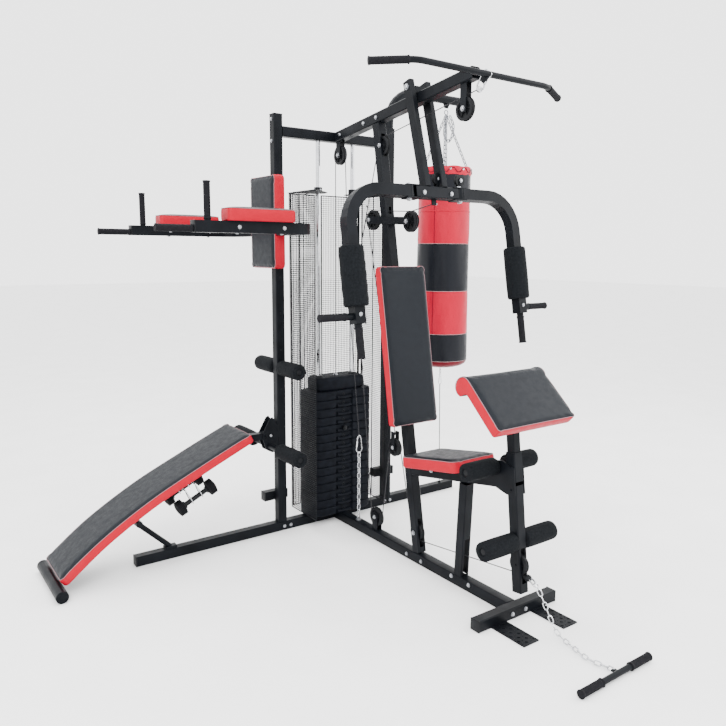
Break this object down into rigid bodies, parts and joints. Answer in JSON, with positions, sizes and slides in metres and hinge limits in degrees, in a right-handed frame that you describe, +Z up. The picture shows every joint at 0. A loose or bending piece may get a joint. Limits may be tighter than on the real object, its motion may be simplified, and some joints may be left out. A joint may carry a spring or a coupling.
{
  "type": "multi station home gym",
  "caption": "Home gym on a steel tube frame: shrouded weight stack, lat bar, chest press with butterfly arms, leg developer, knee raise arms, sit-up bench and a hanging punch bag.",
  "frame": {"origin": "on the floor, under the point where the long cross tube and the main base tube meet", "axes": "+X along the long base tube toward the punch bag, -Y toward the seat and the low row bar, +Z up"},
  "size_m": [2.508, 2.378, 2.425],
  "materials": {
    "black_frame_paint": "satin black powder coat",
    "chrome": "bright chrome plate",
    "black_foam": "matte closed-cell foam sleeve",
    "pad_vinyl": "dark grey synthetic leather with red sides",
    "black_plastic": "satin moulded plastic",
    "plate_vinyl": "satin moulded plastic skin over cement",
    "cable_coat": "black plastic-coated wire rope",
    "bag_vinyl": "red and black synthetic leather bands",
    "perforated_sheet": "black perforated sheet steel"
  },
  "bodies": {
    "gym_frame": {"base_cross_tube": "black_frame_paint", "base_main_tube": "black_frame_paint", "front_foot_bar": "black_frame_paint", "left_upright": "black_frame_paint", "right_upright": "black_frame_paint", "top_crossbar": "black_frame_paint", "top_boom": "black_frame_paint", "main_upright": "black_frame_paint", "seat_rail": "black_frame_paint", "front_seat_post": "black_frame_paint", "guide_rod_left": "chrome", "guide_rod_right": "chrome", "resting_plates": "plate_vinyl", "shroud_left": "perforated_sheet", "shroud_right": "perforated_sheet", "bag_arm": "black_frame_paint", "vkr_frame": "black_frame_paint", "vkr_back_pad": "pad_vinyl", "vkr_arm_pad_front": "pad_vinyl", "vkr_arm_pad_rear": "pad_vinyl", "back_pad": "pad_vinyl", "seat_pad": "pad_vinyl", "thigh_roller": "black_foam", "upright_roller": "black_foam", "bench_leg_roller": "black_foam", "lat_cable": "cable_coat", "press_cable": "cable_coat", "lower_cable": "cable_coat", "floating_block": "black_plastic", "press_block": "black_plastic", "bag_tether": "cable_coat"},
    "lifted_stack": {"stack_carriage": "plate_vinyl", "lifted_plates": "plate_vinyl"},
    "selector": {"selector_pin": "black_plastic"},
    "lat_bar_body": {"lat_bar": "black_frame_paint"},
    "press_arm_body": {"press_arm": "black_frame_paint"},
    "butterfly_left": {"butterfly_arm_left": "black_frame_paint", "butterfly_foam_left": "black_foam"},
    "butterfly_right": {"butterfly_arm_right": "black_frame_paint", "butterfly_foam_right": "black_foam"},
    "leg_developer_body": {"leg_developer": "black_frame_paint", "ankle_roller": "black_foam", "leg_cable": "cable_coat"},
    "low_row_body": {"low_row": "black_frame_paint"},
    "preacher": {"preacher_post": "black_frame_paint", "preacher_pad": "pad_vinyl"},
    "bench": {"bench_frame": "black_frame_paint", "bench_pad": "pad_vinyl"},
    "front_dumbbell": {"dumbbell_front": "plate_vinyl"},
    "rear_dumbbell": {"dumbbell_rear": "plate_vinyl"},
    "bag": {"punch_bag": "bag_vinyl", "bag_chain": "chrome"},
    "wheel_front_top_body": {"wheel_front_top": "black_plastic"},
    "wheel_upright_top_body": {"wheel_upright_top": "black_plastic"},
    "wheel_rear_top_body": {"wheel_rear_top": "black_plastic"},
    "wheel_front_mid_body": {"wheel_front_mid": "black_plastic"},
    "wheel_rear_mid_body": {"wheel_rear_mid": "black_plastic"},
    "wheel_base_body": {"wheel_base": "black_plastic"},
    "wheel_foot_body": {"wheel_foot": "black_plastic"},
    "wheel_leg_body": {"wheel_leg": "black_plastic"}
  },
  "joints": [
    {"name": "stack_lift", "type": "slide", "parent": "gym_frame", "child": "lifted_stack", "axis": [0, 0, 1], "range_m": [0, 0.45]},
    {"name": "selector_pin_pull", "type": "slide", "parent": "lifted_stack", "child": "selector", "axis": [0, -1, 0], "range_m": [0, 0.04]},
    {"name": "lat_bar_pull", "type": "slide", "parent": "gym_frame", "child": "lat_bar_body", "axis": [0, 0, -1], "range_m": [0, 0.45]},
    {"name": "press_arm_swing", "type": "hinge", "parent": "gym_frame", "child": "press_arm_body", "pos_m": [0, -0.678, 2.24], "axis": [-1, 0, 0], "range_deg": [0, 30]},
    {"name": "butterfly_left_swing", "type": "hinge", "parent": "press_arm_body", "child": "butterfly_left", "pos_m": [-0.15, -0.808, 1.77], "axis": [0, 0.174, 0.9848], "range_deg": [0, 85]},
    {"name": "butterfly_right_swing", "type": "hinge", "parent": "press_arm_body", "child": "butterfly_right", "pos_m": [0.15, -0.808, 1.77], "axis": [0, -0.174, -0.9848], "range_deg": [0, 85]},
    {"name": "leg_developer_swing", "type": "hinge", "parent": "gym_frame", "child": "leg_developer_body", "pos_m": [0, -1.35296, 0.545], "axis": [-1, 0, 0], "range_deg": [0, 75]},
    {"name": "low_row_pull", "type": "slide", "parent": "leg_developer_body", "child": "low_row_body", "axis": [0, -1, 0], "range_m": [0, 0.5]},
    {"name": "preacher_height", "type": "slide", "parent": "gym_frame", "child": "preacher", "axis": [0, 0.1113, 0.9938], "range_m": [0, 0.08]},
    {"name": "bench_fold", "type": "hinge", "parent": "gym_frame", "child": "bench", "pos_m": [-0.455, 0, 0.545], "axis": [0, 1, 0], "range_deg": [0, 55]},
    {"name": "front_dumbbell_take_off", "type": "slide", "parent": "bench", "child": "front_dumbbell", "axis": [0.4426, 0, -0.8967], "range_m": [0, 0.04]},
    {"name": "rear_dumbbell_take_off", "type": "slide", "parent": "bench", "child": "rear_dumbbell", "axis": [0.4426, 0, -0.8967], "range_m": [0, 0.04]},
    {"name": "punch_bag_swing", "type": "hinge", "parent": "gym_frame", "child": "bag", "pos_m": [0.785, 0, 2.35], "axis": [1, 0, 0], "range_deg": [-15, 15]},
    {"name": "wheel_front_top_spin", "type": "hinge", "parent": "gym_frame", "child": "wheel_front_top_body", "pos_m": [0, -0.992, 2.105], "axis": [1, 0, 0], "continuous": true},
    {"name": "wheel_upright_top_spin", "type": "hinge", "parent": "gym_frame", "child": "wheel_upright_top_body", "pos_m": [0, -0.428, 2.019], "axis": [1, 0, 0], "continuous": true},
    {"name": "wheel_rear_top_spin", "type": "hinge", "parent": "gym_frame", "child": "wheel_rear_top_body", "pos_m": [0, -0.048, 2.014], "axis": [1, 0, 0], "continuous": true},
    {"name": "wheel_front_mid_spin", "type": "hinge", "parent": "gym_frame", "child": "wheel_front_mid_body", "pos_m": [0, -0.645, 1.652], "axis": [1, 0, 0], "continuous": true},
    {"name": "wheel_rear_mid_spin", "type": "hinge", "parent": "gym_frame", "child": "wheel_rear_mid_body", "pos_m": [0, -0.349, 1.668], "axis": [1, 0, 0], "continuous": true},
    {"name": "wheel_base_spin", "type": "hinge", "parent": "gym_frame", "child": "wheel_base_body", "pos_m": [0, -0.4, 0.122], "axis": [1, 0, 0], "continuous": true},
    {"name": "wheel_foot_spin", "type": "hinge", "parent": "gym_frame", "child": "wheel_foot_body", "pos_m": [0, -0.735, 0.15], "axis": [1, 0, 0], "continuous": true},
    {"name": "wheel_leg_spin", "type": "hinge", "parent": "leg_developer_body", "child": "wheel_leg_body", "pos_m": [0, -1.39, 0.232], "axis": [1, 0, 0], "continuous": true}
  ],
  "couplings": [
    {"joint": "lat_bar_pull", "follows": "stack_lift", "ratio": 1},
    {"joint": "wheel_rear_top_spin", "follows": "stack_lift", "rad_per_m": 21.739},
    {"joint": "wheel_front_top_spin", "follows": "stack_lift", "rad_per_m": 21.739},
    {"joint": "wheel_upright_top_spin", "follows": "stack_lift", "rad_per_m": 23.809}
  ]
}
